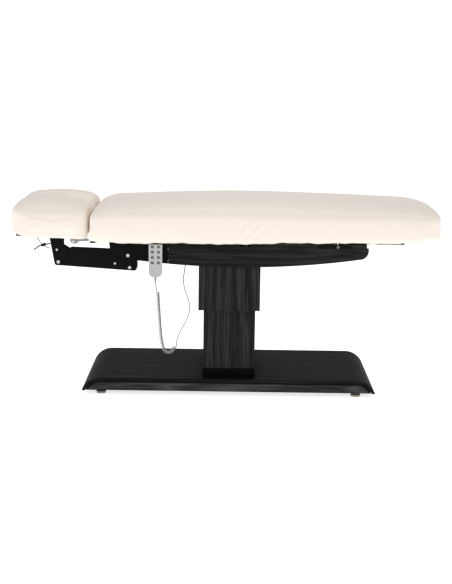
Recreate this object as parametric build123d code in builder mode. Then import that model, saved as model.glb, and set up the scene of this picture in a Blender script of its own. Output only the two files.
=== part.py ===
"""Electric facial treatment bed on a lifting column, as an assembly of separate pieces.

Frame: +X towards the foot end, -Y towards the side that carries the handset, +Z up.
The origin is on the floor under the centre of the bed. All lengths are in millimetres.
"""
from build123d import *
import os
from math import asin, cos, degrees, hypot, pi, radians, tan

os.makedirs("parts", exist_ok=True)

# ---------------------------------------------------------------- driving dimensions
bed_length = 2000
bed_width = 760
column_x = 22                   # base and column stand a little towards the foot end

base_length = 1384
base_depth = 663
base_top = 83.5
base_lip = 21.5                   # height of the base's lower edge
base_shell_wall = 15
base_end_run = 90              # length of each rounded-over end
shell_edge_radius = 3
panel_inset = 11                # side panels sit back from the shell's edge
panel_wall = 18
panel_groove = 1.5              # open joint between the shell and its side panels

foot_x = 603                    # levelling feet, from the column's centre
foot_y = 281
foot_radius = 23
foot_height = 12
stud_radius = 5

column_width = 243              # wood-clad column, along X and Y
column_depth = 560
plinth_width = 247
plinth_depth = 566
plinth_top = 125
column_top = 440
sleeve_width = 288              # wider sleeve that rides up and down with the bed
sleeve_depth = 610
sleeve_bottom = 407
sleeve_top = 640
board_wall = 14

skirt_face = 315                # half the distance over the skirt boards
skirt_wall = 9
skirt_head_x = -416
skirt_wood_x = -266             # the wood starts here; a steel cap closes the head end
skirt_foot_x = 664
skirt_low = 614.8               # lowest point of the arched lower edge
skirt_low_x = 45
skirt_arch_radius = 3930
skirt_corner_radius = 40        # lower foot corner
ear_notch_head_x = 425          # the sides are notched under the hinge ears
ear_notch_foot_x = 532
ear_notch_z = 708.5
skirt_top = 711.5

rail_top = 712                  # steel underframe
rail_height = 20
rail_y = 235
rail_width = 40
section_rail_y = 180            # rails of the moving back and leg sections
section_rail_width = 30
pad_bottom = 730
pad_top = 900
board_bottom = 712
board_top = 728

back_hinge = (100, 702)         # (X, Z) of the hinge axes, which run along Y
back_angle = 50
leg_hinge = (520, 717)
leg_angle = 30
pin_height = 656                # actuator rods run level at this height
back_rod_y = 120
leg_rod_y = -120
cut_margin = 1                  # degrees between the cushion's faces at full travel

mattress_head_x = -628
headrest_tail_x = -637
headrest_half_width = 350
headrest_bottom = 745

headrest_pivot = (-811, 586)    # pivot bolt of the headrest plates
gas_rear = (-537, 581)          # rear pin of the gas spring
gas_front = (-818, 645)         # front pin of the gas spring, on the headrest plates
arm_bolt_a = (-474, 621)
arm_bolt_b = (-465, 562)
face_hole_x = -833
face_hole_size = (184, 132)     # recess that the plug fills
face_hole_throat = (150, 104)   # hole below the plug's ledge
plug_ledge = 815

handset_x = -323
handset_width = 62
handset_bottom = 569
handset_top = 722
handset_front_y = -356
handset_back_y = -334
button_radius = 6.5
button_xs = (-337, -309)
button_zs = (711, 687, 662, 637)

cord_diameter = 5
coil_diameter = 17
cord_y = -345


# ---------------------------------------------------------------- small helpers
def side_plane(y=0.0, x=0.0):
    """A plane facing -Y: its local axes are the bed's X and Z, and it extrudes towards -Y."""
    return Plane(origin=(x, y, 0), x_dir=(1, 0, 0), z_dir=(0, -1, 0))


def cross_plane(x=0.0, y=0.0):
    """A plane facing +X: its local axes are the bed's Y and Z."""
    return Plane(origin=(x, y, 0), x_dir=(0, 1, 0), z_dir=(1, 0, 0))


def arch_height(x):
    """Height of the skirt's arched lower edge."""
    return skirt_low + (x - skirt_low_x) ** 2 / (2 * skirt_arch_radius)


pieces = {}


# ---------------------------------------------------------------- base
half_base = base_length / 2
end_drop = base_top - base_lip
end_radius = (base_end_run ** 2 + end_drop ** 2) / (2 * end_drop)
end_centre = (half_base - base_end_run, base_top - end_radius)


def end_arcs(radius):
    """The two rounded ends of the base's section at one radius, down to the lower edge."""
    start = degrees(asin((base_lip - end_centre[1]) / radius))
    foot_end = CenterArc(end_centre, radius, start, 90 - start)
    head_end = CenterArc((-end_centre[0], end_centre[1]), radius, 90, 90 - start)
    return head_end, foot_end


with BuildPart() as base_shell:
    with BuildSketch(side_plane(0, column_x)):
        with BuildLine():
            outer_head, outer_foot = end_arcs(end_radius)
            inner_head, inner_foot = end_arcs(end_radius - base_shell_wall)
            Line(outer_head @ 0, outer_foot @ 1)
            Line(inner_head @ 0, inner_foot @ 1)
            Line(outer_head @ 1, inner_head @ 1)
            Line(outer_foot @ 0, inner_foot @ 0)
        make_face()
    extrude(amount=base_depth / 2, both=True)
    # the lift tube passes through the middle of the shell
    with BuildSketch(Plane.XY.offset(base_top - base_shell_wall - 5)):
        with Locations((column_x, 0)):
            Rectangle(140, 140)
    extrude(amount=base_shell_wall + 10, mode=Mode.SUBTRACT)
    # the long upper edges are rounded over between the two ends
    long_edges = base_shell.edges().filter_by(Axis.X).filter_by(lambda edge: edge.length > 1000)
    fillet(long_edges.group_by(Axis.Z)[-1], shell_edge_radius)
pieces["base_shell"] = base_shell

with BuildPart() as base_side_panels:
    panel_y = base_depth / 2 - panel_inset - panel_wall
    with BuildSketch(side_plane(-panel_y, column_x)):
        with BuildLine():
            panel_head, panel_foot = end_arcs(end_radius - base_shell_wall - panel_groove)
            Line(panel_head @ 0, panel_foot @ 1)
            Line(panel_head @ 1, panel_foot @ 0)
        make_face()
    extrude(amount=panel_wall)
    mirror(about=Plane.XZ)
pieces["base_side_panels"] = base_side_panels

base_rail_z = 35
base_rail_half_length = 624
base_tube_wall = 3
with BuildPart() as base_frame:
    with BuildSketch(cross_plane(column_x - base_rail_half_length)):
        with Locations((foot_y, base_rail_z), (-foot_y, base_rail_z)):
            Rectangle(40, 30)
            Rectangle(40 - 2 * base_tube_wall, 30 - 2 * base_tube_wall, mode=Mode.SUBTRACT)
    extrude(amount=2 * base_rail_half_length)
    with BuildSketch(Plane.XY.offset(base_rail_z - 20)):
        with Locations((column_x, 0)):
            with GridLocations(2 * foot_x, 2 * foot_y, 2, 2):
                Circle(stud_radius + 0.05)
    extrude(amount=40, mode=Mode.SUBTRACT)
    for offset_x in (-540, -110, 110, 540):
        with BuildSketch(side_plane(foot_y - 20.5, column_x + offset_x)):
            with Locations((0, base_rail_z)):
                Rectangle(50, 30)
                Rectangle(50 - 2 * base_tube_wall, 30 - 2 * base_tube_wall, mode=Mode.SUBTRACT)
        extrude(amount=2 * (foot_y - 20.5))
pieces["base_frame"] = base_frame

nut_height = 6
stud_height = 30


def at_feet():
    """The four places where a levelling foot stands."""
    return [(column_x + x, y) for x in (-foot_x, foot_x) for y in (-foot_y, foot_y)]


with BuildPart() as levelling_feet:
    with BuildSketch(Plane.XY):
        with Locations(*at_feet()):
            Circle(foot_radius)
    extrude(amount=foot_height)
    chamfer(levelling_feet.edges().group_by(Axis.Z)[-1], 2.5)
    chamfer(levelling_feet.edges().group_by(Axis.Z)[0], 1.5)
    with BuildSketch(Plane.XY.offset(foot_height)):
        with Locations(*at_feet()):
            RegularPolygon(9, 6)
    extrude(amount=nut_height)
    with BuildSketch(Plane.XY.offset(foot_height + nut_height)):
        with Locations(*at_feet()):
            Circle(stud_radius)
    extrude(amount=stud_height)
pieces["levelling_feet"] = levelling_feet

# ---------------------------------------------------------------- fixed column
with BuildPart() as column_plinth:
    with BuildSketch(Plane.XY.offset(base_top)):
        with Locations((column_x, 0)):
            with GridLocations(0, plinth_depth - 12, 1, 2):
                Rectangle(plinth_width, 12)
            with GridLocations(plinth_width - 12, 0, 2, 1):
                Rectangle(12, plinth_depth - 25)
    extrude(amount=plinth_top - base_top)
pieces["column_plinth"] = column_plinth


def clad_boards(width, depth, bottom, top, centre_x):
    """Four boards round a column: the near and far ones sit between the side ones."""
    with BuildPart() as boards:
        with BuildSketch(Plane.XY.offset(bottom)):
            with Locations((centre_x, 0)):
                with GridLocations(0, depth - board_wall - 4, 1, 2):
                    Rectangle(width - 2 * board_wall - 1, board_wall)
                with GridLocations(width - board_wall, 0, 2, 1):
                    Rectangle(board_wall, depth)
        extrude(amount=top - bottom)
    return boards


column_boards = clad_boards(column_width, column_depth, plinth_top, column_top, column_x)
pieces["column_boards"] = column_boards

tube_size = 120
tube_wall = 5
tube_foot_top = 58
lift_tube_top = 470
with BuildPart() as lift_outer_tube:
    with BuildSketch(Plane.XY.offset(50)):
        with Locations((column_x, 0)):
            Rectangle(270, 200)
    extrude(amount=tube_foot_top - 50)
    with BuildSketch(Plane.XY.offset(tube_foot_top)):
        with Locations((column_x, 0)):
            RectangleRounded(tube_size, tube_size, 8)
            RectangleRounded(tube_size - 2 * tube_wall, tube_size - 2 * tube_wall, 4, mode=Mode.SUBTRACT)
    extrude(amount=lift_tube_top - tube_foot_top)
pieces["lift_outer_tube"] = lift_outer_tube

with BuildPart() as lift_motor:
    with BuildSketch(Plane.XY.offset(base_top)):
        with Locations((column_x, 110)):
            RectangleRounded(90, 90, 10)
    extrude(amount=60)
    with BuildSketch(Plane.XY.offset(base_top + 60)):
        with Locations((column_x, 110)):
            Circle(35)
    extrude(amount=120)
pieces["lift_motor"] = lift_motor

with BuildPart() as mains_inlet:
    with BuildSketch(side_plane(plinth_depth / 2 + 3.2, column_x)):
        with Locations((0, 103)):
            RectangleRounded(50, 30, 3)
            RectangleRounded(27, 19, 2, mode=Mode.SUBTRACT)
    extrude(amount=3)
pieces["mains_inlet"] = mains_inlet

# ---------------------------------------------------------------- lifting sleeve
sleeve_boards = clad_boards(sleeve_width, sleeve_depth, sleeve_bottom, sleeve_top, column_x - 2)
pieces["sleeve_boards"] = sleeve_boards

inner_tube_size = tube_size - 2 * tube_wall - 2
head_plate_z = 680
with BuildPart() as lift_inner_tube:
    with BuildSketch(Plane.XY.offset(270)):
        with Locations((column_x, 0)):
            RectangleRounded(inner_tube_size, inner_tube_size, 4)
            RectangleRounded(inner_tube_size - 8, inner_tube_size - 8, 2, mode=Mode.SUBTRACT)
    extrude(amount=head_plate_z - 270)
pieces["lift_inner_tube"] = lift_inner_tube

# ---------------------------------------------------------------- skirt
corner_start_x = skirt_foot_x - 34
corner_centre = (skirt_foot_x - skirt_corner_radius, 698)
with BuildPart() as skirt_sides:
    with BuildSketch(side_plane(-(skirt_face - skirt_wall))):
        with BuildLine():
            arch = ThreePointArc(
                (skirt_wood_x, arch_height(skirt_wood_x)),
                (skirt_low_x, skirt_low),
                (corner_start_x, arch_height(corner_start_x)),
            )
            corner = TangentArc(arch @ 1, (skirt_foot_x, corner_centre[1]), tangent=arch % 1)
            Polyline(corner @ 1, (skirt_foot_x, skirt_top), (ear_notch_foot_x, skirt_top),
                     (ear_notch_foot_x, ear_notch_z), (ear_notch_head_x, ear_notch_z),
                     (ear_notch_head_x, skirt_top), (skirt_wood_x, skirt_top), arch @ 0)
        make_face()
    extrude(amount=skirt_wall)
    mirror(about=Plane.XZ)
pieces["skirt_sides"] = skirt_sides

cap_wall = 3
with BuildPart() as skirt_end_cap:
    with BuildSketch(side_plane(-(skirt_face - cap_wall - 1))):
        with BuildLine():
            cap_arch = ThreePointArc(
                (skirt_head_x, arch_height(skirt_head_x)),
                ((skirt_head_x + skirt_wood_x) / 2, arch_height((skirt_head_x + skirt_wood_x) / 2)),
                (skirt_wood_x - 0.5, arch_height(skirt_wood_x)),
            )
            Polyline(cap_arch @ 1, (skirt_wood_x - 0.5, skirt_top), (skirt_head_x, skirt_top), cap_arch @ 0)
        make_face()
    extrude(amount=cap_wall)
    mirror(about=Plane.XZ)
    cap_bottom = arch_height(skirt_head_x)
    with BuildSketch(cross_plane(skirt_head_x)):
        with Locations((0, (cap_bottom + 690) / 2)):
            Rectangle(2 * (skirt_face - cap_wall - 1.5), 690 - cap_bottom)
    extrude(amount=cap_wall)
pieces["skirt_end_cap"] = skirt_end_cap

# a bent strip that follows the corner closes the foot end between the two sides
strip_half_width = skirt_face - skirt_wall - 0.5
with BuildPart() as skirt_foot_panel:
    with BuildSketch(side_plane(strip_half_width)):
        with BuildLine():
            outer_bend = CenterArc(corner_centre, skirt_corner_radius - 2, -80, 70)
            inner_bend = CenterArc(corner_centre, skirt_corner_radius - 10, -80, 70)
            Line(outer_bend @ 0, inner_bend @ 0)
            Line(outer_bend @ 1, inner_bend @ 1)
        make_face()
    extrude(amount=2 * strip_half_width)
pieces["skirt_foot_panel"] = skirt_foot_panel

# ---------------------------------------------------------------- underframe
shaft_radius = 7
running_gap = 0.05
crossmember_xs = (-390, -145, 190, 590)
crossmember_width = 24
seat_half_width = 312.5
narrow_half_width = 215
with BuildPart() as underframe:
    with BuildSketch(cross_plane(-404)):
        with Locations((rail_y, rail_top - rail_height / 2), (-rail_y, rail_top - rail_height / 2)):
            Rectangle(rail_width, rail_height)
            Rectangle(rail_width - 5, rail_height - 5, mode=Mode.SUBTRACT)
    extrude(amount=404 + 605)
    with BuildSketch(side_plane(300)):
        with Locations(back_hinge):
            Circle(shaft_radius + running_gap)
    extrude(amount=600, mode=Mode.SUBTRACT)
    for member_x in crossmember_xs:
        with BuildSketch(side_plane(rail_y + rail_width / 2, member_x)):
            with Locations((0, rail_top - 1.5 * rail_height - 0.2)):
                Rectangle(crossmember_width, rail_height)
                Rectangle(crossmember_width - 5, rail_height - 5, mode=Mode.SUBTRACT)
        extrude(amount=2 * rail_y + rail_width)
    # plate that the lifting tube carries, between the two middle cross-members
    plate_head_x = crossmember_xs[1] + crossmember_width / 2 + 0.3
    plate_foot_x = crossmember_xs[2] - crossmember_width / 2 - 0.3
    with BuildSketch(Plane.XY.offset(head_plate_z)):
        with Locations(((plate_head_x + plate_foot_x) / 2, 0)):
            Rectangle(plate_foot_x - plate_head_x, 150)
    extrude(amount=10)
    # ears beside the seat board, bored for the leg section's hinge shaft
    for near_face in (-seat_half_width, seat_half_width + 4):
        with BuildSketch(side_plane(near_face)):
            with BuildLine():
                Polyline((430, 712.5), (500, 709), (leg_hinge[0] + 8, 709), (leg_hinge[0] + 8, 726), (430, 726),
                         close=True)
            make_face()
            with Locations(leg_hinge):
                Circle(5 + running_gap, mode=Mode.SUBTRACT)
        extrude(amount=4)
pieces["underframe"] = underframe

with BuildPart() as seat_board:
    with BuildSketch(Plane.XY.offset(board_bottom)):
        with Locations(((back_hinge[0] + 16 + leg_hinge[0] - 15) / 2, 0)):
            Rectangle(leg_hinge[0] - 15 - back_hinge[0] - 16, 2 * seat_half_width)
    extrude(amount=board_top - board_bottom)
pieces["seat_board"] = seat_board

with BuildPart() as control_box:
    with BuildSketch(Plane.XY.offset(642)):
        with Locations((-258, -225)):
            RectangleRounded(200, 120, 8)
    extrude(amount=29)
    fillet(control_box.edges().group_by(Axis.Z)[0], 3)
pieces["control_box"] = control_box


def actuator_housing(rod_y, rear_x, front_x, motor_side):
    """Housing of a linear actuator lying along X, bored for its rod at the end nearer +X."""
    with BuildPart() as housing:
        with BuildSketch(cross_plane(rear_x, rod_y)):
            with Locations((0, pin_height)):
                RectangleRounded(48, 30, 6)
        extrude(amount=front_x - rear_x)
        with BuildSketch(cross_plane(rear_x + 10, rod_y + motor_side * 40)):
            with Locations((0, pin_height)):
                Circle(15)
        extrude(amount=110)
        with BuildSketch(cross_plane(rear_x + 14, rod_y + motor_side * 20)):
            with Locations((0, pin_height)):
                Rectangle(30, 24)
        extrude(amount=40)
        with BuildSketch(cross_plane(rear_x + 20, rod_y)):
            with Locations((0, pin_height)):
                Circle(8 + running_gap)
        extrude(amount=front_x - rear_x, mode=Mode.SUBTRACT)
    return housing


back_actuator = actuator_housing(back_rod_y, -372, -165, 1)
pieces["back_actuator"] = back_actuator
leg_actuator = actuator_housing(leg_rod_y, 210, 440, -1)
pieces["leg_actuator"] = leg_actuator


# ---------------------------------------------------------------- cushion sections
def plan_outline(head_x, foot_x, half_width, head_radius, foot_radius):
    """A cushion's plan, as a closed line with its own corner radius at each end."""
    with BuildLine() as outline:
        FilletPolyline(
            (foot_x - 300, -half_width), (foot_x, -half_width), (foot_x, half_width),
            (foot_x - 300, half_width), radius=foot_radius,
        )
        FilletPolyline(
            (foot_x - 300, half_width), (head_x, half_width), (head_x, -half_width),
            (foot_x - 300, -half_width), radius=head_radius,
        )
    return outline.line


def cushion_block(head_x, foot_x):
    """The whole bed cushion, from which each section keeps its own stretch."""
    with BuildPart() as block:
        with BuildSketch(Plane.XY.offset(pad_bottom)):
            add(plan_outline(mattress_head_x, bed_length / 2, bed_width / 2, 60, 115))
            make_face()
        extrude(amount=pad_top - pad_bottom)
        fillet(block.edges().group_by(Axis.Z)[-1], 34)
        fillet(block.edges().group_by(Axis.Z)[0], 12)
        keep_low = pad_bottom - 10
        keep_high = pad_top + 10
        with BuildSketch(side_plane(bed_width)):
            with BuildLine():
                Polyline(
                    (head_x(keep_low), keep_low), (foot_x(keep_low), keep_low),
                    (foot_x(keep_high), keep_high), (head_x(keep_high), keep_high), close=True,
                )
            make_face()
        extrude(amount=2 * bed_width, mode=Mode.INTERSECT)
    return block


def fold_face(hinge, angle, side):
    """X of a cushion's fold face at a height: it leans back so that the sections can close up."""
    lean = tan(radians(angle / 2 + cut_margin))
    return lambda z: hinge[0] + side * (z - hinge[1]) * lean


mattress_back = cushion_block(lambda z: -bed_length / 2, fold_face(back_hinge, back_angle, -1))
pieces["mattress_back"] = mattress_back
mattress_seat = cushion_block(fold_face(back_hinge, back_angle, 1), fold_face(leg_hinge, leg_angle, -1))
pieces["mattress_seat"] = mattress_seat
mattress_leg = cushion_block(fold_face(leg_hinge, leg_angle, 1), lambda z: bed_length / 2 + 10)
pieces["mattress_leg"] = mattress_leg


# ---------------------------------------------------------------- back section
def slotted_lever(hinge, start_angle, half_range):
    """Face of a lever that hangs from a hinge shaft, with a radial slot for the actuator's pin."""
    drop = hinge[1] - pin_height
    reach = drop / cos(radians(half_range))
    slot_middle = (drop + reach) / 2
    slot_length = reach - drop + 14
    with BuildSketch(Plane.XY) as lever:
        with Locations((slot_middle / 2, 0)):
            Rectangle(slot_middle, 22)
        with Locations((slot_middle, 0)):
            SlotOverall(slot_length + 13, 22)
            SlotOverall(slot_length, 11, mode=Mode.SUBTRACT)
        Circle(11.5)
    return lever.sketch.rotate(Axis.Z, start_angle - 90)


section_rail_z = rail_top - rail_height / 2
with BuildPart() as back_hinge_shaft:
    with BuildSketch(side_plane(250)):
        with Locations(back_hinge):
            Circle(shaft_radius)
    extrude(amount=500)
    with BuildSketch(side_plane(back_rod_y + 3)):
        with Locations(back_hinge):
            add(slotted_lever(back_hinge, back_angle / 2, back_angle / 2))
    extrude(amount=6)
pieces["back_hinge_shaft"] = back_hinge_shaft

back_rail_tip_x = -542
bracket_member_x = -470
back_member_xs = (-524, bracket_member_x, -60)
with BuildPart() as back_frame:
    with BuildSketch(cross_plane(back_rail_tip_x)):
        with Locations((section_rail_y, section_rail_z), (-section_rail_y, section_rail_z)):
            Rectangle(section_rail_width, rail_height - 1)
            Rectangle(section_rail_width - 5, rail_height - 6, mode=Mode.SUBTRACT)
    extrude(amount=back_hinge[0] + 12 - back_rail_tip_x)
    with BuildSketch(side_plane(300)):
        with Locations(back_hinge):
            Circle(shaft_radius + 0.02)
    extrude(amount=600, mode=Mode.SUBTRACT)
    member_half_length = section_rail_y - section_rail_width / 2 - 0.3
    for member_x in back_member_xs:
        member_width = 60 if member_x == bracket_member_x else 30
        with BuildSketch(side_plane(member_half_length, member_x)):
            with Locations((0, section_rail_z)):
                Rectangle(member_width, rail_height - 1)
                Rectangle(member_width - 5, rail_height - 6, mode=Mode.SUBTRACT)
        extrude(amount=2 * member_half_length)
    # rests for the headrest's clamps, under the head edge of the board
    for near_face in (-193, 207):
        with BuildSketch(side_plane(near_face)):
            with BuildLine():
                Polyline((-642, 711.9), (-600, 711.9), (-618, 704), (-638, 704), close=True)
            make_face()
        extrude(amount=14)
pieces["back_frame"] = back_frame

back_board_end = back_hinge[0] - 30
board_step_x = -430             # beyond the skirt the board is narrower, and the cover hides it
board_tip_x = mattress_head_x + 18
with BuildPart() as back_board:
    with BuildSketch(Plane.XY.offset(board_bottom)):
        with Locations(((board_step_x + back_board_end) / 2, 0)):
            RectangleRounded(back_board_end - board_step_x, 2 * seat_half_width, 10)
        with Locations(((board_tip_x + board_step_x + 20) / 2, 0)):
            RectangleRounded(board_step_x + 20 - board_tip_x, 2 * narrow_half_width, 20)
    extrude(amount=board_top - board_bottom)
pieces["back_board"] = back_board

arm_inner_y = 24
arm_wall = 4
plate_inner_y = arm_inner_y + arm_wall + 1
plate_wall = 4
pivot_radius = 6
with BuildPart() as headrest_bracket:
    with BuildSketch(side_plane(arm_inner_y - 0.3)):
        with BuildLine():
            Polyline((-500, 606), (-500, 692.4), (-440, 692.4), (-440, 552), (-480, 552), close=True)
        make_face()
        with Locations(arm_bolt_a, arm_bolt_b):
            Circle(5.02, mode=Mode.SUBTRACT)
    extrude(amount=2 * (arm_inner_y - 0.3))
    with BuildSketch(cross_plane(-600)):
        with Locations((0, 600)):
            Rectangle(36, 200)
    extrude(amount=152, mode=Mode.SUBTRACT)
pieces["headrest_bracket"] = headrest_bracket

with BuildPart() as headrest_arms:
    with BuildSketch(side_plane(-arm_inner_y)):
        with BuildLine():
            Polyline(
                (-828, 569), (-430, 545), (-430, 691), (-567, 691), (-561, 647), (-752, 653), (-828, 610),
                close=True,
            )
        arm_face = make_face()
        fillet(arm_face.vertices().sort_by(Axis.Y)[:2], 15)
        with Locations(headrest_pivot):
            Circle(pivot_radius + 0.02, mode=Mode.SUBTRACT)
        with Locations(arm_bolt_a, arm_bolt_b, gas_rear):
            Circle(5.02, mode=Mode.SUBTRACT)
    extrude(amount=arm_wall)
    mirror(about=Plane.XZ)
pieces["headrest_arms"] = headrest_arms

plate_outer_y = plate_inner_y + plate_wall
arm_outer_y = arm_inner_y + arm_wall
arm_bolt_sizes = (
    (arm_bolt_a, 5, 9, arm_outer_y),
    (arm_bolt_b, 5, 8.5, arm_outer_y),
    (gas_rear, 5, 6.5, arm_outer_y),
    (headrest_pivot, pivot_radius, 8.8, plate_outer_y + 0.5),
)
with BuildPart() as arm_bolts:
    for centre, shank, head_radius, grip_y in arm_bolt_sizes:
        with BuildSketch(side_plane(grip_y)):
            with Locations(centre):
                Circle(shank)
        extrude(amount=2 * grip_y)
        for near_face in (-grip_y, grip_y + 5):
            with BuildSketch(side_plane(near_face)):
                with Locations(centre):
                    Circle(head_radius)
            extrude(amount=5)
    head_rims = arm_bolts.edges().filter_by(GeomType.CIRCLE)
    chamfer([rim for rim in head_rims if rim.radius > 6.4 and abs(rim.center().Y) > arm_outer_y + 4], 1.2)
pieces["arm_bolts"] = arm_bolts

# ---------------------------------------------------------------- gas spring
gas_run = (gas_front[0] - gas_rear[0], gas_front[1] - gas_rear[1])
gas_length = hypot(*gas_run)
gas_direction = (gas_run[0] / gas_length, 0, gas_run[1] / gas_length)
gas_bore_depth = 50
gas_body_length = 175


def gas_plane(distance):
    """A plane across the gas spring, this far from its rear pin."""
    origin = (
        gas_rear[0] + gas_direction[0] * distance, 0, gas_rear[1] + gas_direction[2] * distance,
    )
    return Plane(origin=origin, x_dir=(0, 1, 0), z_dir=gas_direction)


with BuildPart() as gas_cylinder:
    with BuildSketch(side_plane(6)):
        with Locations(gas_rear):
            Circle(11)
    extrude(amount=12)
    with BuildSketch(gas_plane(9)):
        Circle(5.5)
    extrude(amount=12)
    with BuildSketch(side_plane(8)):
        with Locations(gas_rear):
            Circle(5 + running_gap)
    extrude(amount=16, mode=Mode.SUBTRACT)
    with BuildSketch(gas_plane(20)):
        Circle(11)
    extrude(amount=gas_body_length - 20)
    with BuildSketch(gas_plane(gas_body_length - gas_bore_depth)):
        Circle(5 + running_gap)
    extrude(amount=gas_bore_depth + 5, mode=Mode.SUBTRACT)
pieces["gas_cylinder"] = gas_cylinder

gas_eye_bore = 6.8
with BuildPart() as gas_rod:
    with BuildSketch(gas_plane(gas_body_length - gas_bore_depth + 6)):
        Circle(5)
    extrude(amount=gas_length - gas_body_length + gas_bore_depth - 16)
    with BuildSketch(side_plane(5)):
        with Locations(gas_front):
            Circle(11.5)
    extrude(amount=10)
    with BuildSketch(side_plane(6)):
        with Locations(gas_front):
            Circle(gas_eye_bore)
    extrude(amount=12, mode=Mode.SUBTRACT)
pieces["gas_rod"] = gas_rod

# ---------------------------------------------------------------- headrest
headrest_board_bottom = 733
tube_y = 200
tube_z = 740                    # the tubes lie in channels in the pad's underside
tube_radius = 8.5
with BuildPart() as headrest_plates:
    with BuildSketch(side_plane(-plate_inner_y)):
        with BuildLine():
            Polyline(
                (-859, headrest_board_bottom - 0.2), (-788, headrest_board_bottom - 0.2), (-790, 664),
                (-763, 648), (-790, 568), (-828, 568), close=True,
            )
        plate_face = make_face()
        fillet(plate_face.vertices().sort_by(Axis.Y)[:2], 15)
        with Locations(headrest_pivot):
            Circle(pivot_radius + running_gap, mode=Mode.SUBTRACT)
        with Locations(gas_front):
            Circle(4.02, mode=Mode.SUBTRACT)
    extrude(amount=plate_wall)
    with BuildSketch(Plane.XY.offset(headrest_board_bottom - 4.2)):
        with Locations((-823.5, -(plate_outer_y + 12))):
            Rectangle(71, 24)
    extrude(amount=4)
    mirror(about=Plane.XZ)
pieces["headrest_plates"] = headrest_plates

board_half_width = 180
with BuildPart() as headrest_board:
    with BuildSketch(Plane.XY.offset(headrest_board_bottom)):
        with Locations((-815, 0)):
            RectangleRounded(310, 2 * board_half_width, 30)
        with Locations((face_hole_x, 0)):
            Ellipse(face_hole_throat[0] / 2 + 2, face_hole_throat[1] / 2 + 2, mode=Mode.SUBTRACT)
    extrude(amount=headrest_bottom - headrest_board_bottom - 0.2)
pieces["headrest_board"] = headrest_board

with BuildPart() as headrest_pad:
    with BuildSketch(Plane.XY.offset(headrest_bottom)):
        with Locations(((-bed_length / 2 + headrest_tail_x) / 2, 0)):
            RectangleRounded(headrest_tail_x + bed_length / 2, 2 * headrest_half_width, 70)
    extrude(amount=pad_top - headrest_bottom)
    fillet(headrest_pad.edges().group_by(Axis.Z)[-1], 34)
    fillet(headrest_pad.edges().group_by(Axis.Z)[0], 12)
    with BuildSketch(Plane.XY.offset(headrest_bottom - 5)):
        with Locations((face_hole_x, 0)):
            Ellipse(face_hole_throat[0] / 2, face_hole_throat[1] / 2)
    extrude(amount=200, mode=Mode.SUBTRACT)
    with BuildSketch(Plane.XY.offset(plug_ledge)):
        with Locations((face_hole_x, 0)):
            Ellipse(face_hole_size[0] / 2, face_hole_size[1] / 2)
    extrude(amount=200, mode=Mode.SUBTRACT)
    with BuildSketch(cross_plane(-bed_length / 2)):
        with Locations((tube_y, tube_z), (-tube_y, tube_z)):
            Circle(tube_radius + 0.5)
    extrude(amount=headrest_tail_x + bed_length / 2, mode=Mode.SUBTRACT)
pieces["headrest_pad"] = headrest_pad

with BuildPart() as face_plug:
    with BuildSketch(Plane.XY.offset(plug_ledge + 0.3)):
        with Locations((face_hole_x, 0)):
            Ellipse(face_hole_size[0] / 2 - 1.5, face_hole_size[1] / 2 - 1.5)
    extrude(amount=pad_top - 8 - plug_ledge)
    fillet(face_plug.edges().group_by(Axis.Z)[-1], 12)
pieces["face_plug"] = face_plug

with BuildPart() as headrest_tubes:
    with BuildSketch(cross_plane(-986)):
        with Locations((tube_y, tube_z), (-tube_y, tube_z)):
            Circle(tube_radius)
            Circle(tube_radius - 2, mode=Mode.SUBTRACT)
    extrude(amount=986 - 652)
    with BuildSketch(cross_plane(-988)):
        with Locations((tube_y, tube_z), (-tube_y, tube_z)):
            Circle(tube_radius)
    extrude(amount=3)
pieces["headrest_tubes"] = headrest_tubes

with BuildPart() as headrest_clamps:
    with BuildSketch(side_plane(-(tube_y - 8))):
        with BuildLine():
            Polyline((-733, 731), (-733, 712), (-724, 700), (-704, 700), (-690, 712), (-646, 713), (-646, 723),
                     (-690, 731), close=True)
        clamp_face = make_face()
        fillet(clamp_face.vertices().sort_by(Axis.Y)[:2], 7)
    extrude(amount=16)
    mirror(about=Plane.XZ)
pieces["headrest_clamps"] = headrest_clamps

with BuildPart() as headrest_fasteners:
    with BuildSketch(side_plane(plate_outer_y)):
        with Locations(gas_front):
            Circle(4)
    extrude(amount=2 * plate_outer_y)
    for near_face in (-plate_outer_y, plate_outer_y + 3):
        with BuildSketch(side_plane(near_face)):
            with Locations(gas_front):
                Circle(5.5)
        extrude(amount=3)
    for near_face in (-(tube_y + 8), tube_y + 13):
        with BuildSketch(side_plane(near_face)):
            with Locations((-717, 710)):
                Circle(7)
        extrude(amount=5)
pieces["headrest_fasteners"] = headrest_fasteners

# Two-arm release lever under the headrest, and the steel stay that carries it.
lever_pivot = (-880, 671)
with BuildPart() as lever_stay:
    with BuildLine(Plane.XZ.offset(34 + 9)) as stay_line:
        FilletPolyline((-926, 728), (-893, 676), (-872, 661), (-851, 652), radius=6)
    with BuildSketch(Plane(origin=stay_line.line @ 0, z_dir=stay_line.line % 0)):
        Circle(2)
    sweep()
    with BuildSketch(Plane.XY.offset(728)):
        with Locations((-926, -43)):
            Rectangle(26, 14)
    extrude(amount=headrest_board_bottom - 728.2)
pieces["lever_stay"] = lever_stay

with BuildPart() as release_lever:
    with BuildLine(Plane.XZ.offset(50)) as lever_line:
        FilletPolyline((-847, 677), (-873, 673), (-900, 666), (-927, 646), radius=16)
    with BuildSketch(Plane(origin=lever_line.line @ 0, z_dir=lever_line.line % 0)):
        Circle(3)
    sweep()
    with BuildSketch(side_plane(-46.5)):
        with Locations(lever_pivot):
            SlotOverall(26, 14, rotation=18)
    extrude(amount=7)
pieces["release_lever"] = release_lever

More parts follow.
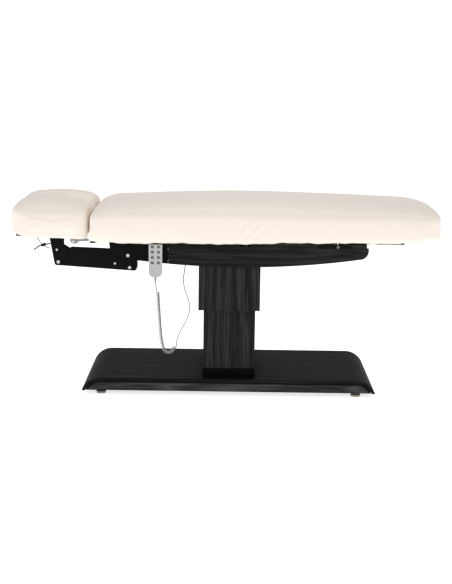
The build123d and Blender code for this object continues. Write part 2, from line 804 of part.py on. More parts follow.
# ---------------------------------------------------------------- leg section
with BuildPart() as leg_hinge_shaft:
    with BuildSketch(side_plane(323)):
        with Locations(leg_hinge):
            Circle(5)
    extrude(amount=646)
    for near_face in (-322.5, 328):
        with BuildSketch(side_plane(near_face)):
            with Locations(leg_hinge):
                Circle(7)
        extrude(amount=5.5)
    with BuildSketch(side_plane(leg_rod_y + 3)):
        with Locations(leg_hinge):
            add(slotted_lever(leg_hinge, -leg_angle / 2, leg_angle / 2))
    extrude(amount=6)
pieces["leg_hinge_shaft"] = leg_hinge_shaft

leg_plate_y = 317.3
with BuildPart() as leg_frame:
    with BuildSketch(cross_plane(leg_hinge[0] + 14)):
        with Locations((section_rail_y, 701), (-section_rail_y, 701)):
            Rectangle(section_rail_width, 16)
            Rectangle(section_rail_width - 5, 11, mode=Mode.SUBTRACT)
    extrude(amount=112)
    for near_face in (-leg_plate_y, leg_plate_y + 4):
        with BuildSketch(side_plane(near_face)):
            with BuildLine():
                Polyline((508, 710), (588, 712), (588, 722), (508, 726), close=True)
            make_face()
            with Locations(leg_hinge):
                Circle(5.02, mode=Mode.SUBTRACT)
        extrude(amount=4)
pieces["leg_frame"] = leg_frame

with BuildPart() as leg_board:
    with BuildSketch(Plane.XY.offset(board_bottom)):
        with Locations(((leg_hinge[0] + 12 + 655) / 2, 0)):
            Rectangle(655 - leg_hinge[0] - 12, 2 * leg_plate_y - 0.4)
    extrude(amount=board_top - board_bottom)
    with BuildSketch(Plane.XY.offset(board_bottom + 4)):
        with Locations(((650 + 842) / 2, 0)):
            Rectangle(842 - 650, 420)
    extrude(amount=board_top - board_bottom - 4)
pieces["leg_board"] = leg_board


# ---------------------------------------------------------------- actuator rods
def actuator_rod(rod_y, tail_x, pin_x):
    """Push rod with a forked end: its cross pin runs in the slot of the section's lever."""
    with BuildPart() as rod:
        with BuildSketch(cross_plane(tail_x, rod_y)):
            with Locations((0, pin_height)):
                Circle(8)
        extrude(amount=pin_x - 38 - tail_x)
        with BuildSketch(cross_plane(pin_x - 38, rod_y)):
            with Locations((0, pin_height)):
                Rectangle(20, 14)
        extrude(amount=6)
        for cheek_y in (rod_y + 10, rod_y - 6):
            with BuildSketch(side_plane(cheek_y)):
                with Locations((pin_x - 16, pin_height)):
                    SlotOverall(44, 14)
            extrude(amount=4)
        with BuildSketch(side_plane(rod_y + 10)):
            with Locations((pin_x, pin_height)):
                Circle(4)
        extrude(amount=20)
    return rod


back_pin_x = back_hinge[0] + (back_hinge[1] - pin_height) * tan(radians(back_angle / 2))
leg_pin_x = leg_hinge[0] - (leg_hinge[1] - pin_height) * tan(radians(leg_angle / 2))
back_rod = actuator_rod(back_rod_y, -300, back_pin_x)
pieces["back_rod"] = back_rod
leg_rod = actuator_rod(leg_rod_y, 300, leg_pin_x)
pieces["leg_rod"] = leg_rod

# ---------------------------------------------------------------- handset
handset_corner = 24
handset_height = handset_top - handset_bottom
shell_wall = 2.5
handset_split_y = -345


def handset_outline(inset):
    """The handset's face: almost straight sides, small upper corners and a round lower end."""
    with Locations((handset_x, (handset_top + handset_bottom) / 2)):
        outline = Rectangle(handset_width - 2 * inset, handset_height - 2 * inset)
    corners = outline.vertices().group_by(Axis.Y)
    fillet(corners[0], handset_corner - inset)
    fillet(corners[-1], 8 - inset)


with BuildPart() as handset_front:
    with BuildSketch(side_plane(handset_split_y)):
        handset_outline(0)
    extrude(amount=handset_split_y - handset_front_y)
    fillet(handset_front.faces().sort_by(Axis.Y)[0].edges(), 2)
    with BuildSketch(side_plane(handset_split_y)):
        handset_outline(shell_wall)
    extrude(amount=handset_split_y - handset_front_y - shell_wall, mode=Mode.SUBTRACT)
    with BuildSketch(side_plane(handset_split_y)):
        with Locations(*[(x, z) for x in button_xs for z in button_zs]):
            Circle(button_radius + 0.3)
    extrude(amount=20, mode=Mode.SUBTRACT)
pieces["handset_front"] = handset_front

with BuildPart() as handset_back:
    with BuildSketch(side_plane(handset_back_y)):
        handset_outline(0)
    extrude(amount=handset_back_y - handset_split_y - 0.2)
    fillet(handset_back.faces().sort_by(Axis.Y)[-1].edges(), 2)
    with BuildSketch(side_plane(handset_back_y - shell_wall)):
        handset_outline(shell_wall)
    extrude(amount=20, mode=Mode.SUBTRACT)
pieces["handset_back"] = handset_back

relief_top = handset_bottom - 0.2
relief_bottom = 543
with BuildPart() as handset_relief:
    with BuildSketch(Plane.XY.offset(relief_bottom)):
        with Locations((handset_x, cord_y)):
            Circle(3.4)
    with BuildSketch(Plane.XY.offset(relief_top)):
        with Locations((handset_x, cord_y)):
            Circle(6)
    loft()
pieces["handset_relief"] = handset_relief

with BuildPart() as handset_holder:
    with BuildSketch(side_plane(-skirt_face - 0.2)):
        with Locations((handset_x, 668)):
            RectangleRounded(36, 84, 5)
    extrude(amount=-handset_back_y - skirt_face - 0.5)
pieces["handset_holder"] = handset_holder

for column, button_x in enumerate(button_xs):
    for row, button_z in enumerate(button_zs):
        with BuildPart() as button:
            with BuildSketch(side_plane(-352.2)):
                with Locations((button_x, button_z)):
                    Circle(button_radius + 1.2)
            extrude(amount=1)
            with BuildSketch(side_plane(-353.2)):
                with Locations((button_x, button_z)):
                    Circle(button_radius)
            extrude(amount=4.2)
            fillet(button.edges().filter_by(GeomType.CIRCLE).group_by(Axis.Y)[0], 0.8)
        pieces[f"button_{1 + column + 2 * row}"] = button


# ---------------------------------------------------------------- handset cord
def cord_tube(route, diameter):
    """A plain tube along straight runs that are joined by the largest arcs they allow."""
    points = [Vector(*point) for point in route]
    radii = []
    for before, corner, after in zip(points, points[1:], points[2:]):
        turn = (corner - before).get_angle(after - corner)
        shorter = min((corner - before).length, (after - corner).length)
        radii.append(0.45 * shorter / tan(radians(turn / 2)))
    with BuildPart() as tube:
        with BuildLine() as path:
            FilletPolyline(*points, radius=radii)
        with BuildSketch(Plane(origin=path.line @ 0, z_dir=path.line % 0)):
            Circle(diameter / 2)
        sweep()
    length = sum(edge.length for edge in path.edges())
    section = pi * diameter ** 2 / 4
    print("cord radii", [round(radius) for radius in radii], "length", round(length),
          "volume ratio", round(tube.part.volume / (section * length), 4))
    return tube


lower_lead_route = [
    (handset_x, cord_y, relief_bottom - 0.5), (-322, cord_y, 529), (-317, cord_y, 515), (-312, cord_y, 503),
]
coil_route = [
    (-312, cord_y, 503), (-310, cord_y, 455), (-306, cord_y, 410), (-303.5, cord_y, 365),
    (-300.5, cord_y, 330), (-298, cord_y, 300), (-294, cord_y, 268), (-288, cord_y, 240),
    (-279.5, cord_y, 222), (-264.5, cord_y, 213.5), (-248.5, cord_y, 217), (-237, cord_y, 230),
    (-229, cord_y, 247),
]
upper_lead_route = [
    (-229, cord_y, 247), (-221, cord_y, 275), (-207, cord_y, 312), (-183, cord_y, 356),
    (-164, cord_y, 402), (-163, cord_y, 446), (-178, cord_y, 488), (-192, -340, 528),
    (-194, -320, 566), (-189, -295, 600), (-185, -285, 630),
]
cord_lead_lower = cord_tube(lower_lead_route, cord_diameter)
pieces["cord_lead_lower"] = cord_lead_lower
cord_coil = cord_tube(coil_route, coil_diameter)
pieces["cord_coil"] = cord_coil
cord_lead_upper = cord_tube(upper_lead_route, cord_diameter)
pieces["cord_lead_upper"] = cord_lead_upper

with BuildPart() as cord_gland:
    with BuildSketch(Plane.XY.offset(630.2)):
        with Locations((-185, -283)):
            Circle(7)
    extrude(amount=11.6)
pieces["cord_gland"] = cord_gland

# ---------------------------------------------------------------- write every piece
for name, piece in pieces.items():
    piece.part.label = name
    export_step(piece.part, f"parts/{name}.step")
print(len(pieces), "pieces written")
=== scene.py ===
"""Looks of the facial treatment bed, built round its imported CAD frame. Lengths are in metres."""
import math

import bmesh
import bpy
import numpy as np
from mathutils import Matrix, Vector


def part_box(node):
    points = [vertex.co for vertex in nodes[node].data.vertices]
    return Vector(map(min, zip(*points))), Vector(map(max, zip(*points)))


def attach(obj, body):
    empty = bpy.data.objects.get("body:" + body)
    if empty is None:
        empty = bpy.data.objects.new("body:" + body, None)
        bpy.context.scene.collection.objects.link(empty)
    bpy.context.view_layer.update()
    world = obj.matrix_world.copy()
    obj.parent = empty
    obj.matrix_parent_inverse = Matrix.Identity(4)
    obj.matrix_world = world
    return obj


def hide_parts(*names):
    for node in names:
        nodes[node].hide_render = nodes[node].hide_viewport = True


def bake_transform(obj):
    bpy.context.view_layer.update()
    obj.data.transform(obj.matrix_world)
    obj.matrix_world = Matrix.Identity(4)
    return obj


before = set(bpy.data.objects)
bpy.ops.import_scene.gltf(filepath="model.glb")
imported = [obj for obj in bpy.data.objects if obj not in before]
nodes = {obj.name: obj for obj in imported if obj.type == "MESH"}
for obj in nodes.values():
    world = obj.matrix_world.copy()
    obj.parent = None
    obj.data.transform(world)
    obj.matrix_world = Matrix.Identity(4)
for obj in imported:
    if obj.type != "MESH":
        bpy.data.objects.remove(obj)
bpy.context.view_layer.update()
scene = bpy.context.scene


# ---------------------------------------------------------------- camera and light
def make_camera():
    """A level, front-on camera, slightly above the bed and tipped down."""
    pitch, roll, yaw = (math.radians(angle) for angle in (10.05, -0.78, -0.05))
    forward = Vector((math.sin(yaw) * math.cos(pitch), math.cos(yaw) * math.cos(pitch), -math.sin(pitch)))
    level = Vector((math.cos(yaw), -math.sin(yaw), 0.0))
    down = forward.cross(level)
    right = math.cos(roll) * level + math.sin(roll) * down
    below = -math.sin(roll) * level + math.cos(roll) * down
    data = bpy.data.cameras.new("camera")
    data.sensor_width = 36.0
    data.lens = 83.24
    data.clip_end = 60.0
    camera = bpy.data.objects.new("camera", data)
    axes = Matrix((right, -below, -forward)).transposed()
    camera.matrix_world = Matrix.Translation((0.010, -6.510, 1.596)) @ axes.to_4x4()
    scene.collection.objects.link(camera)
    scene.camera = camera


def area_light(name, place, target, size, power, colour=(1.0, 1.0, 1.0)):
    data = bpy.data.lights.new(name, "AREA")
    data.shape = "RECTANGLE"
    data.size, data.size_y = size
    data.energy = power
    data.color = colour
    light = bpy.data.objects.new(name, data)
    light.location = place
    light.rotation_euler = (Vector(target) - Vector(place)).to_track_quat("-Z", "Y").to_euler()
    scene.collection.objects.link(light)


def make_light():
    """A white studio: a low broad front light, softer ones above and at the sides, a dim surround."""
    scene.view_settings.view_transform = "Standard"
    world = bpy.data.worlds.new("studio")
    scene.world = world
    world.use_nodes = True
    tree = world.node_tree
    background = tree.nodes["Background"]
    background.inputs["Color"].default_value = (1.0, 1.0, 1.0, 1.0)
    ray = tree.nodes.new("ShaderNodeLightPath")
    strength = tree.nodes.new("ShaderNodeMapRange")
    strength.inputs["To Min"].default_value = 0.55
    strength.inputs["To Max"].default_value = 1.05
    tree.links.new(ray.outputs["Is Camera Ray"], strength.inputs["Value"])
    tree.links.new(strength.outputs["Result"], background.inputs["Strength"])
    area_light("front", (-0.5, -5.2, 1.3), (0.0, 0.0, 0.65), (3.6, 1.6), 27)
    area_light("above", (0.2, 0.3, 3.6), (0.0, 0.0, 0.8), (3.0, 2.0), 31)
    area_light("head_side", (-3.8, -1.4, 1.6), (-0.4, 0.0, 0.6), (1.6, 1.6), 12)
    area_light("foot_side", (3.8, -1.0, 1.5), (0.4, 0.0, 0.6), (1.6, 1.6), 9)


def make_floor():
    mesh = bpy.data.meshes.new("floor")
    bm = bmesh.new()
    bmesh.ops.create_grid(bm, x_segments=1, y_segments=1, size=14.0)
    bm.to_mesh(mesh)
    bm.free()
    floor = bpy.data.objects.new("floor", mesh)
    floor.location.z = -0.0005
    scene.collection.objects.link(floor)
    tree = new_material("floor_paper", (0.95, 0.95, 0.95), 0.95, specular=0.0)
    tree.shader.inputs["Emission Color"].default_value = (1.0, 1.0, 1.0, 1.0)
    tree.shader.inputs["Emission Strength"].default_value = 0.75
    mesh.materials.append(tree.material)


# ---------------------------------------------------------------- materials
class Tree:
    """Short calls for building one procedural material."""

    def __init__(self, name):
        self.material = bpy.data.materials.new(name)
        self.material.use_nodes = True
        self.tree = self.material.node_tree
        self.shader = self.tree.nodes["Principled BSDF"]
        self.place = self.add("ShaderNodeTexCoord").outputs["Object"]

    def add(self, kind, **inputs):
        node = self.tree.nodes.new(kind)
        for key, value in inputs.items():
            node.inputs[key.replace("_", " ")].default_value = value
        return node

    def link(self, source, target):
        self.tree.links.new(source, target)

    def stretched(self, scale):
        mapping = self.add("ShaderNodeMapping", Scale=scale)
        self.link(self.place, mapping.inputs["Vector"])
        return mapping.outputs["Vector"]

    def noise(self, scale, detail=4.0, roughness=0.5, distortion=0.0, place=None):
        node = self.add("ShaderNodeTexNoise", Scale=scale, Detail=detail, Roughness=roughness,
                        Distortion=distortion)
        self.link(place or self.place, node.inputs["Vector"])
        return node.outputs["Fac"]

    def ramp(self, source, stops):
        node = self.add("ShaderNodeValToRGB")
        elements = node.color_ramp.elements
        while len(elements) < len(stops):
            elements.new(0.5)
        for element, (position, value) in zip(elements, stops):
            element.position = position
            colour = value if isinstance(value, tuple) else (value,) * 3
            element.color = (*colour, 1.0)
        self.link(source, node.inputs["Fac"])
        return node.outputs["Color"]

    def mix(self, factor, a, b, blend="MIX"):
        node = self.add("ShaderNodeMix")
        node.data_type = "RGBA"
        node.blend_type = blend
        for index, value in ((0, factor), (6, a), (7, b)):
            if isinstance(value, bpy.types.NodeSocket):
                self.link(value, node.inputs[index])
            elif index == 0:
                node.inputs[0].default_value = value
            else:
                node.inputs[index].default_value = (*value, 1.0)
        return node.outputs[2]

    def bump(self, height, strength, distance, below=None):
        node = self.add("ShaderNodeBump", Strength=strength, Distance=distance)
        self.link(height, node.inputs["Height"])
        if below is not None:
            self.link(below, node.inputs["Normal"])
        return node.outputs["Normal"]


def new_material(name, colour, roughness, metallic=0.0, specular=0.5):
    """A material whose colour and roughness vary a little, as any real finish does."""
    tree = Tree(name)
    patch = tree.noise(9.0, 3.0)
    darker = tuple(0.93 * value for value in colour)
    lighter = tuple(min(1.0, 1.05 * value) for value in colour)
    tree.link(tree.mix(patch, darker, lighter), tree.shader.inputs["Base Color"])
    tree.link(tree.ramp(patch, ((0.3, max(0.0, roughness - 0.05)), (0.7, min(1.0, roughness + 0.05)))),
              tree.shader.inputs["Roughness"])
    tree.shader.inputs["Metallic"].default_value = metallic
    tree.shader.inputs["Specular IOR Level"].default_value = specular
    return tree


def leatherette(name, colour):
    """Smooth upholstery skin: a fine pebble grain, a soft sheen and faint unevenness."""
    tree = Tree(name)
    shade = tree.noise(5.0, 3.0, 0.5)
    deep = tuple(value * factor for value, factor in zip(colour, (0.965, 0.955, 0.94)))
    tree.link(tree.mix(shade, deep, colour), tree.shader.inputs["Base Color"])
    cells = tree.add("ShaderNodeTexVoronoi", Scale=620.0)
    cells.feature = "SMOOTH_F1"
    tree.link(tree.place, cells.inputs["Vector"])
    grain = tree.bump(cells.outputs["Distance"], 0.16, 0.0006)
    soft = tree.bump(tree.noise(26.0, 2.0), 0.10, 0.004, grain)
    tree.link(soft, tree.shader.inputs["Normal"])
    tree.link(tree.ramp(tree.noise(40.0, 3.0), ((0.3, 0.40), (0.7, 0.50))), tree.shader.inputs["Roughness"])
    tree.shader.inputs["Specular IOR Level"].default_value = 0.42
    tree.shader.inputs["Sheen Weight"].default_value = 0.06
    tree.shader.inputs["Sheen Roughness"].default_value = 0.4
    return tree.material


def stained_wood(name, along, depth=1.0):
    """Black-stained open-grained wood, with its grain along one axis; depth scales its colour, which makes
    lighter and darker copies of the one wood as painted light and shade.
    """
    tree = Tree(name)
    stretch = [1.0, 1.0, 1.0]
    stretch["XYZ".index(along)] = 0.045
    fibres = tree.noise(150.0, 5.0, 0.62, 0.25, tree.stretched(stretch))
    stretch["XYZ".index(along)] = 0.10
    growth = tree.add("ShaderNodeTexWave", Scale=5.5, Distortion=9.0, Detail=3.0)
    growth.inputs["Detail Scale"].default_value = 1.1
    growth.inputs["Detail Roughness"].default_value = 0.6
    growth.bands_direction = "Y" if along == "X" else "X"
    tree.link(tree.stretched(stretch), growth.inputs["Vector"])
    rings = tree.ramp(growth.outputs["Fac"], ((0.0, 0.0), (0.55, 0.12), (0.86, 1.0), (1.0, 0.15)))
    stops = ((0.30, (0.0050, 0.0050, 0.0053)), (0.52, (0.0130, 0.0127, 0.0129)),
             (0.74, (0.034, 0.0335, 0.034)))
    base = tree.ramp(fibres, [(place, tuple(depth * value for value in colour)) for place, colour in stops])
    ringed = tree.mix(rings, base, (0.048 * depth, 0.0475 * depth, 0.048 * depth))
    colour = tree.mix(0.62, base, ringed)
    tree.link(colour, tree.shader.inputs["Base Color"])
    pores = tree.bump(fibres, 0.32, 0.0012)
    tree.link(tree.bump(rings, 0.10, 0.0008, pores), tree.shader.inputs["Normal"])
    tree.link(tree.ramp(fibres, ((0.3, 0.66), (0.7, 0.50))), tree.shader.inputs["Roughness"])
    tree.shader.inputs["Specular IOR Level"].default_value = 0.06
    return tree.material


def paint_rebate_shadow(material, width=0.0075):
    """Paints shade into the base's side panels: a near-black band along their upper edge, round both end
    arcs too, as the painted shadow under the shell's overhanging edge.
    """
    low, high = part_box("base_shell")
    panel_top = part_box("base_side_panels")[1][2]
    shell_wall = high[2] - panel_top
    drop, run = high[2] - low[2], BASE_END_RUN
    radius = (run ** 2 + drop ** 2) / (2 * drop)
    nodes_of, links = material.node_tree.nodes, material.node_tree.links
    shader = nodes_of["Principled BSDF"]
    place = nodes_of.new("ShaderNodeNewGeometry").outputs["Position"]

    def maths(operation, first, second):
        node = nodes_of.new("ShaderNodeMath")
        node.operation = operation
        for socket, value in zip(node.inputs, (first, second)):
            if isinstance(value, bpy.types.NodeSocket):
                links.new(value, socket)
            else:
                socket.default_value = value
        return node.outputs["Value"]

    parts = nodes_of.new("ShaderNodeSeparateXYZ")
    links.new(place, parts.inputs["Vector"])
    middle = (low[0] + high[0]) / 2
    beyond = maths("SUBTRACT", maths("ABSOLUTE", maths("SUBTRACT", parts.outputs["X"], middle), 0.0),
                   (high[0] - low[0]) / 2 - run)
    across = maths("MAXIMUM", beyond, 0.0)
    up = maths("SUBTRACT", parts.outputs["Z"], high[2] - radius)
    reach = maths("SQRT", maths("ADD", maths("MULTIPLY", across, across), maths("MULTIPLY", up, up)), 0.0)
    inside = maths("SUBTRACT", radius - shell_wall, reach)
    # the band just under the shell's inner edge, where the painted shadow goes
    painted_shadow_band = maths("LESS_THAN", inside, width)
    colour = shader.inputs["Base Color"].links[0].from_socket
    mix = nodes_of.new("ShaderNodeMix")
    mix.data_type = "RGBA"
    links.new(painted_shadow_band, mix.inputs[0])
    links.new(colour, mix.inputs[6])
    # near-black colour of the painted shadow
    mix.inputs[7].default_value = (0.0008, 0.0008, 0.0008, 1.0)
    links.new(mix.outputs[2], shader.inputs["Base Color"])
    return material


def powder_coat(name, colour):
    """Fine orange-peel texture of sprayed and baked paint."""
    tree = new_material(name, colour, 0.52, specular=0.05)
    tree.link(tree.bump(tree.noise(900.0, 2.0), 0.14, 0.0004), tree.shader.inputs["Normal"])
    return tree.material


def metal(name, colour, roughness, along=None):
    """Bright or brushed steel; along draws its brushing out on one axis."""
    tree = new_material(name, colour, roughness, metallic=1.0)
    stretch = [1.0, 1.0, 1.0]
    if along:
        stretch["XYZ".index(along)] = 0.03
    tree.link(tree.bump(tree.noise(700.0, 2.0, place=tree.stretched(stretch)), 0.08, 0.0003),
              tree.shader.inputs["Normal"])
    return tree.material


def moulded(name, colour, roughness, specular=0.45):
    """Moulded plastic with a faint spark-eroded grain."""
    tree = new_material(name, colour, roughness, specular=specular)
    tree.link(tree.bump(tree.noise(1500.0, 2.0), 0.10, 0.0002), tree.shader.inputs["Normal"])
    return tree.material


def painted_board(name):
    """Plywood edge and face under matt black paint."""
    tree = new_material(name, (0.006, 0.006, 0.0063), 0.75, specular=0.06)
    layers = tree.stretched((0.1, 0.1, 1.0))
    tree.link(tree.bump(tree.noise(260.0, 3.0, place=layers), 0.2, 0.0006), tree.shader.inputs["Normal"])
    return tree.material


BASE_END_RUN = 0.090
cream = (0.885, 0.805, 0.728)
materials = {
    "leather": leatherette("cream_leatherette", cream),
    "plug_leather": leatherette("cream_leatherette_plug", tuple(0.985 * value for value in cream)),
    # All four woods are one black stain; their depths are painted light and shade: the lengthwise boards
    # and the base top (painted shade on a face lit from above) are darker copies, the side panels a lighter
    # copy as painted light.
    "wood_x": stained_wood("black_wood_lengthwise", "X", 0.64),
    "wood_base": stained_wood("black_wood_base_painted_shade", "X", 0.36),
    "wood_z": stained_wood("black_wood_upright", "Z", 1.0),
    "panel": paint_rebate_shadow(stained_wood("black_wood_panel_painted_light_and_shadow", "X", 1.8)),
    "board": painted_board("painted_board"),
    "plinth": moulded("plinth_black", (0.0020, 0.0020, 0.0021), 0.7, 0.05),
    "coat": powder_coat("black_powder_coat", (0.0055, 0.0055, 0.0057)),
    # The skirt's end cap is black-coated steel in a darker copy of the powder coat: painted shade for the
    # deep shade at the beam's head end.
    "cap_coat": powder_coat("cap_powder_coat_painted_shade", (0.0030, 0.0030, 0.0032)),
    "tube": metal("drawn_steel", (0.30, 0.30, 0.31), 0.34, "Z"),
    "rod": metal("ground_steel", (0.13, 0.13, 0.135), 0.34, "X"),
    "clamp": metal("cast_clamp", (0.24, 0.24, 0.245), 0.45),
    "bolt": metal("zinc_bolt", (0.42, 0.44, 0.46), 0.25),
    "foot": metal("turned_foot", (0.27, 0.24, 0.21), 0.42),
    "motor": moulded("black_plastic", (0.008, 0.008, 0.0085), 0.55, 0.15),
    "handset": moulded("light_grey_plastic", (0.46, 0.46, 0.455), 0.45, 0.3),
    "key": moulded("dark_key", (0.012, 0.012, 0.013), 0.38),
    "mark": moulded("key_mark", (0.55, 0.55, 0.55), 0.5),
    "lamp": moulded("signal_lamp", (0.30, 0.31, 0.30), 0.25),
    "cord": moulded("grey_cord", (0.29, 0.29, 0.285), 0.45, 0.2),
    "grip": moulded("lever_grip", (0.006, 0.006, 0.006), 0.5, 0.15),
}

NODE_FINISH = {
    "panel": ("base_side_panels",),
    "wood_base": ("base_shell",),
    "wood_x": ("skirt_sides", "skirt_foot_panel", "seat_board", "back_board",
               "leg_board"),
    "wood_z": ("column_boards", "sleeve_boards"),
    "board": ("headrest_board",),
    "plinth": ("column_plinth",),
    "coat": ("base_frame", "underframe", "back_frame", "leg_frame", "headrest_bracket", "headrest_arms",
             "headrest_plates", "gas_cylinder"),
    "cap_coat": ("skirt_end_cap",),
    "tube": ("lift_outer_tube", "lift_inner_tube"),
    "rod": ("back_rod", "leg_rod", "gas_rod", "back_hinge_shaft", "leg_hinge_shaft", "headrest_tubes",
            "lever_stay"),
    "clamp": ("headrest_clamps",),
    "bolt": ("arm_bolts", "headrest_fasteners"),
    "foot": ("levelling_feet",),
    "motor": ("lift_motor", "mains_inlet", "control_box", "back_actuator", "leg_actuator",
              "handset_holder"),
    "handset": ("handset_front", "handset_back"),
    "cord": ("cord_gland", "handset_relief"),
    "grip": ("release_lever",),
    "key": tuple(f"button_{number}" for number in range(1, 9)),
}
BEVELS = {
    "base_shell": 0.0025, "base_side_panels": 0.0015, "column_boards": 0.0010, "sleeve_boards": 0.0010,
    "skirt_sides": 0.0012, "skirt_end_cap": 0.0006, "column_plinth": 0.0015, "headrest_arms": 0.0007,
    "headrest_plates": 0.0007, "arm_bolts": 0.0006, "headrest_clamps": 0.0012, "leg_board": 0.0015,
    "headrest_fasteners": 0.0006, "levelling_feet": 0.0008, "skirt_foot_panel": 0.0010,
}


def finish_nodes():
    """Gives every carried-over CAD node its material, and the visible edges a small radius."""
    for finish, names in NODE_FINISH.items():
        for name in names:
            node = nodes[name]
            if not node.material_slots:
                node.data.materials.append(None)
            for slot in node.material_slots:
                slot.material = materials[finish]
    for name, width in BEVELS.items():
        bevel = nodes[name].modifiers.new("edge", "BEVEL")
        bevel.width = width
        bevel.segments = 2
        bevel.limit_method = "ANGLE"
        bevel.angle_limit = math.radians(40)
        bevel.harden_normals = False


# ---------------------------------------------------------------- mesh helpers
def new_piece(name, bm, material, smooth=True):
    mesh = bpy.data.meshes.new(name)
    bmesh.ops.recalc_face_normals(bm, faces=bm.faces)
    bm.to_mesh(mesh)
    bm.free()
    if smooth:
        mesh.shade_smooth()
    mesh.materials.append(materials[material])
    piece = bpy.data.objects.new(name, mesh)
    scene.collection.objects.link(piece)
    return piece


def coordinates(piece):
    flat = np.empty(len(piece.data.vertices) * 3, np.float32)
    piece.data.vertices.foreach_get("co", flat)
    return flat.reshape(-1, 3).astype(np.float64)


def set_coordinates(piece, points):
    piece.data.vertices.foreach_set("co", points.astype(np.float32).ravel())
    piece.data.update()


def smoothstep(low, high, value):
    share = np.clip((value - low) / (high - low), 0.0, 1.0)
    return share * share * (3 - 2 * share)


def apply_modifiers(piece):
    evaluated = piece.evaluated_get(bpy.context.evaluated_depsgraph_get())
    mesh = bpy.data.meshes.new_from_object(evaluated)
    piece.modifiers.clear()
    old = piece.data
    piece.data = mesh
    bpy.data.meshes.remove(old)


def rounded_outline(low, high, head_radius, foot_radius, inset, steps=14):
    """Points round a plan with different corner radii at its head (low X) and foot (high X) ends."""
    points = []
    corners = (
        (high[0], high[1], foot_radius, 0), (low[0], high[1], head_radius, 90),
        (low[0], low[1], head_radius, 180), (high[0], low[1], foot_radius, 270),
    )
    for x, y, radius, start in corners:
        centre_x = x - radius if x == high[0] else x + radius
        centre_y = y - radius if y == high[1] else y + radius
        reach = max(radius - inset, 0.002)
        for step in range(steps + 1):
            angle = math.radians(start + 90 * step / steps)
            points.append((centre_x + reach * math.cos(angle), centre_y + reach * math.sin(angle)))
    return points


def inflate(piece, voxel, cap, pressure=4.0):
    """Fills a padded piece with air by cloth simulation and keeps how far each point may move to cap."""
    remesh = piece.modifiers.new("remesh", "REMESH")
    remesh.mode = "VOXEL"
    remesh.voxel_size = voxel
    apply_modifiers(piece)
    start = coordinates(piece)
    cloth = piece.modifiers.new("cloth", "CLOTH")
    settings = cloth.settings
    settings.quality = 5
    settings.mass = 0.3
    settings.tension_stiffness = 18
    settings.compression_stiffness = 18
    settings.shear_stiffness = 8
    settings.bending_stiffness = 4
    settings.use_pressure = True
    settings.uniform_pressure_force = pressure
    settings.effector_weights.gravity = 0.0
    cloth.collision_settings.use_collision = False
    cloth.point_cache.frame_start = 1
    cloth.point_cache.frame_end = 20
    for step in range(1, 21):
        scene.frame_set(step)
    apply_modifiers(piece)
    scene.frame_set(1)
    moved = coordinates(piece) - start
    distance = np.linalg.norm(moved, axis=1, keepdims=True)
    # soft cap: small moves are kept and large ones flatten off towards the cap
    scale = np.where(distance > 1e-9, cap * np.tanh(distance / cap) / np.maximum(distance, 1e-9), 1.0)
    set_coordinates(piece, start + moved * scale)
    smooth = piece.modifiers.new("smooth", "SMOOTH")
    smooth.factor = 0.5
    smooth.iterations = 6
    subdivide = piece.modifiers.new("subdivide", "SUBSURF")
    subdivide.levels = subdivide.render_levels = 1
    apply_modifiers(piece)
    piece.data.shade_smooth()


def stitch(bm, rings, closed=False):
    """Joins each ring of corners to the next one; closed also joins the last ring to the first."""
    following_rings = rings[1:] + rings[:1] if closed else rings[1:]
    for lower, upper in zip(rings, following_rings):
        for index in range(len(lower)):
            following = (index + 1) % len(lower)
            bm.faces.new((lower[index], lower[following], upper[following], upper[index]))


def quarter_turn(steps):
    """Angles over a quarter of a circle, both ends included."""
    return [math.pi / 2 * step / steps for step in range(steps + 1)]


# ---------------------------------------------------------------- bed cushion
def cushion_rings(low, high, head_radius, foot_radius, bottom, top, edge):
    """A closed block with a rounded upper edge and a tucked-in lower edge, as stacked rings."""
    levels = [(0.012, bottom), (0.004, bottom + 0.006), (0.0, bottom + 0.018)]
    for angle in quarter_turn(6):
        levels.append((edge * (1 - math.cos(angle)), top - edge + edge * math.sin(angle)))
    bm = bmesh.new()
    rings = []
    for inset, height in levels:
        outline = rounded_outline(low, high, head_radius, foot_radius, inset)
        rings.append([bm.verts.new((x, y, height)) for x, y in outline])
    stitch(bm, rings)
    bm.faces.new(list(reversed(rings[0])))
    bm.faces.new(rings[-1])
    return bm


def wrinkle(x, z, start, end, width, depth):
    """Depth of one crease on the near side, from one point (X, Z) to another, fading at both ends."""
    along = np.array(end) - np.array(start)
    length = np.linalg.norm(along)
    along = along / length
    rel_x, rel_z = x - start[0], z - start[1]
    run = (rel_x * along[0] + rel_z * along[1]) / length
    across = -rel_x * along[1] + rel_z * along[0]
    fade = smoothstep(-0.1, 0.35, run) * (1 - smoothstep(0.65, 1.1, run))
    groove = np.exp(-(across / width) ** 2)
    ridge_beside = 0.55 * np.exp(-((across - 1.9 * width) / width) ** 2)
    return depth * fade * (groove - ridge_beside)


NEAR_WRINKLES = (
    ((0.030, 0.745), (0.110, 0.850), 0.010, 0.0022),
    ((0.075, 0.742), (0.165, 0.845), 0.011, 0.0026),
    ((0.120, 0.745), (0.215, 0.835), 0.012, 0.0018),
    ((0.165, 0.742), (0.240, 0.800), 0.010, 0.0012),
    ((-0.30, 0.742), (-0.235, 0.800), 0.014, 0.0010),
    ((0.455, 0.745), (0.520, 0.815), 0.014, 0.0012),
    ((0.560, 0.745), (0.600, 0.800), 0.012, 0.0009),
)


HEM_X = (-0.613, -0.466, -0.439, -0.164, 0.020, 0.272, 0.891, 0.937)
HEM_Z = (0.728, 0.7185, 0.721, 0.724, 0.721, 0.731, 0.737, 0.750)
CROWN_X, CROWN_Z, EDGE_Z = 0.08, 0.9255, 0.874


